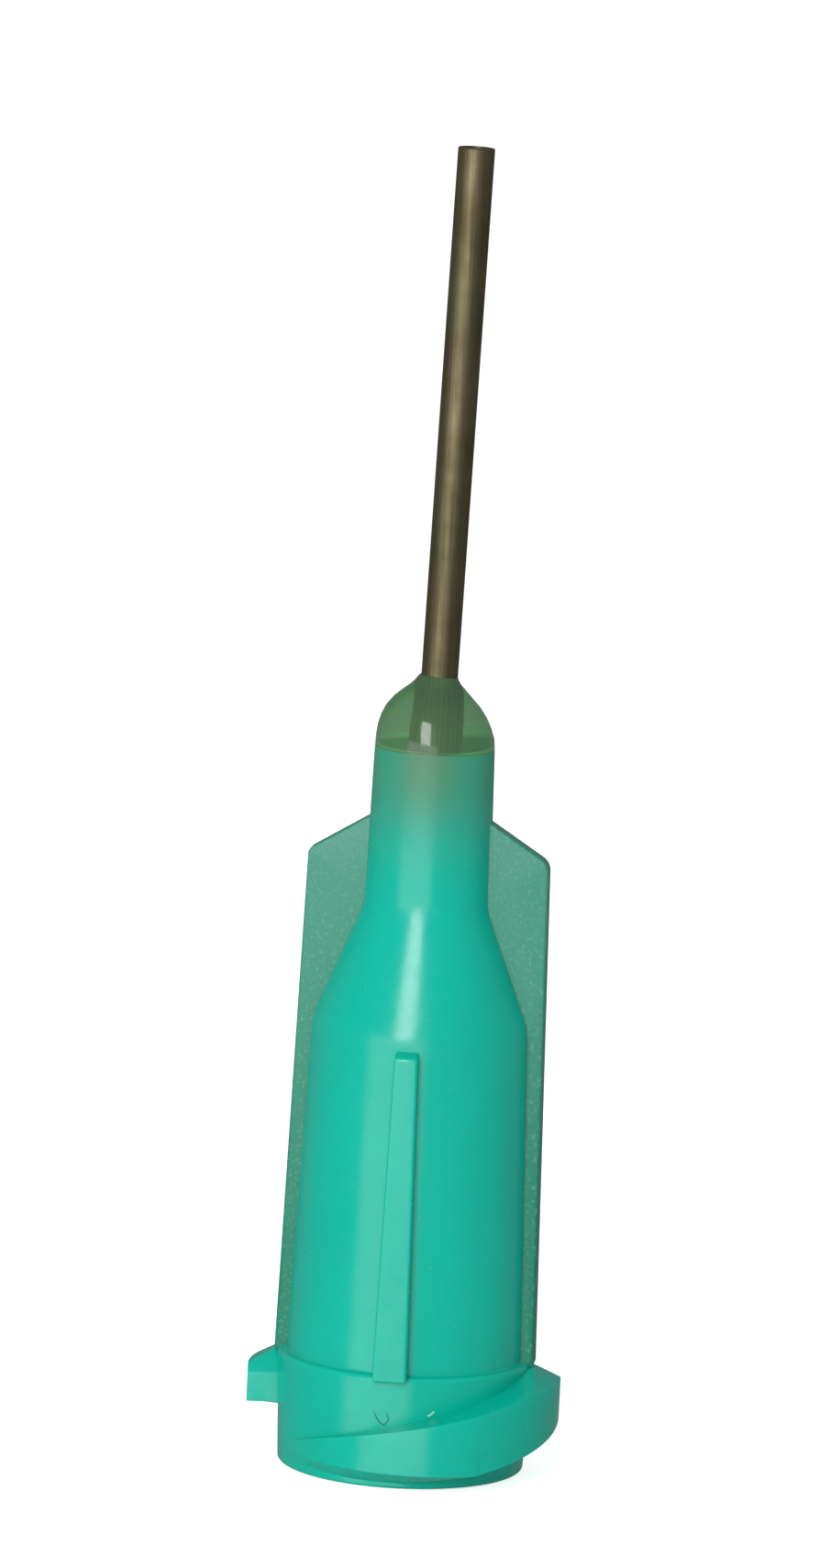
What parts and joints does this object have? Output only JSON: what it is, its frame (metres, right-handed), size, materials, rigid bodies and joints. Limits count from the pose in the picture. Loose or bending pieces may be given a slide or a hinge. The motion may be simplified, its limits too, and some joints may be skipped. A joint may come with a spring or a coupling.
{
  "type": "dispensing needle tip",
  "caption": "Blunt dispensing needle: a winged luer-lock hub moulded in green plastic, with a straight steel cannula bonded into its neck by a clear bead of adhesive.",
  "frame": {"origin": "centre of the mouth's rim, on the plane that the tip stands on", "axes": "+Z from the mouth towards the needle's point, along the hub's axis; +X through the middle of a wing, on the side to which the cannula leans"},
  "size_m": [0.0078, 0.0078, 0.0328],
  "materials": {
    "hub": "moulded translucent polypropylene, satin",
    "cannula": "drawn stainless tube, satin",
    "adhesive": "clear cured adhesive, glossy"
  },
  "bodies": {
    "root": {"hub": "hub", "cannula": "cannula", "adhesive": "adhesive"}
  },
  "joints": []
}
